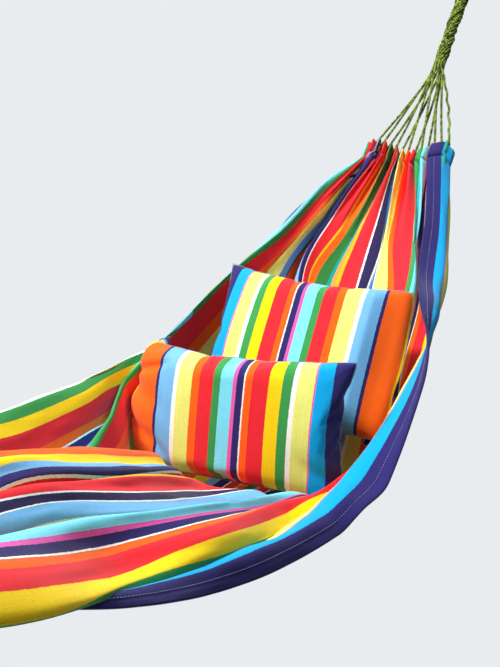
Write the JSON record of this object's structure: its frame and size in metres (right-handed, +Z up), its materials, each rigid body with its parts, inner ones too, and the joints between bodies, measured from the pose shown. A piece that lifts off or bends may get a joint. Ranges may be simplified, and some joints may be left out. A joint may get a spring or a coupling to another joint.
{
  "type": "cloth hammock with pillows",
  "caption": "Striped woven hammock gathered onto cord clews that end in hanging eyes, with two matching pillows lying in it.",
  "frame": {"origin": "the point inside the head eye where the hook carries it", "axes": "+X from the foot end to the head end, +Y to the far side, +Z up"},
  "size_m": [2.6894, 0.5116, 0.9937],
  "materials": {
    "striped_cotton": "woven cotton in bold lengthwise stripes, matt",
    "pillow_cotton": "the same striped cotton, tighter over the filling",
    "green_cord": "two-ply laid cord, olive and lime green",
    "binding_twine": "close turns of thin dark green twine",
    "wear_sleeve": "smooth brown leather",
    "filling": "white non-woven bag of fibre",
    "zip_tape": "closed coil zip on navy tape",
    "zip_metal": "nickel-plated zip slider"
  },
  "bodies": {
    "hooks_side": {"head_eye_sleeve": "wear_sleeve", "foot_eye_sleeve": "wear_sleeve"},
    "hammock": {"bed_cloth": "striped_cotton", "head_hem_channel": "striped_cotton", "foot_hem_channel": "striped_cotton", "head_header_cord": "green_cord", "foot_header_cord": "green_cord", "head_clew_strand_01": "green_cord", "head_clew_strand_02": "green_cord", "head_clew_strand_03": "green_cord", "head_clew_strand_04": "green_cord", "head_clew_strand_05": "green_cord", "head_clew_strand_06": "green_cord", "head_clew_strand_07": "green_cord", "head_clew_strand_08": "green_cord", "head_clew_strand_09": "green_cord", "head_clew_strand_10": "green_cord", "head_clew_strand_11": "green_cord", "head_clew_strand_12": "green_cord", "foot_clew_strand_01": "green_cord", "foot_clew_strand_02": "green_cord", "foot_clew_strand_03": "green_cord", "foot_clew_strand_04": "green_cord", "foot_clew_strand_05": "green_cord", "foot_clew_strand_06": "green_cord", "foot_clew_strand_07": "green_cord", "foot_clew_strand_08": "green_cord", "foot_clew_strand_09": "green_cord", "foot_clew_strand_10": "green_cord", "foot_clew_strand_11": "green_cord", "foot_clew_strand_12": "green_cord", "head_clew_bundle": "green_cord", "foot_clew_bundle": "green_cord", "head_eye_whipping": "binding_twine", "foot_eye_whipping": "binding_twine", "head_eye": "green_cord", "foot_eye": "green_cord"},
    "front_pillow": {"front_pillow_cover": "pillow_cotton", "front_pillow_filling": "filling", "front_pillow_zip_tape": "zip_tape"},
    "back_pillow": {"back_pillow_cover": "pillow_cotton", "back_pillow_filling": "filling", "back_pillow_zip_tape": "zip_tape"},
    "front_zip_slider": {"front_pillow_zip_slider": "zip_metal"},
    "back_zip_slider": {"back_pillow_zip_slider": "zip_metal"}
  },
  "joints": [
    {"name": "swing", "type": "hinge", "parent": "hooks_side", "child": "hammock", "pos_m": [0, 0, 0], "axis": [1, 0, 0], "range_deg": [-18, 18]},
    {"name": "front_pillow_lift", "type": "slide", "parent": "hammock", "child": "front_pillow", "axis": [0, 0, 1], "range_m": [0, 0.35]},
    {"name": "back_pillow_lift", "type": "slide", "parent": "hammock", "child": "back_pillow", "axis": [0, 0, 1], "range_m": [0, 0.35]},
    {"name": "front_zip", "type": "slide", "parent": "front_pillow", "child": "front_zip_slider", "axis": [-0.1392, 0.9901, -0.0175], "range_m": [0, 0.154]},
    {"name": "back_zip", "type": "slide", "parent": "back_pillow", "child": "back_zip_slider", "axis": [-0.0349, 0.9994, 0.0087], "range_m": [0, 0.154]}
  ]
}
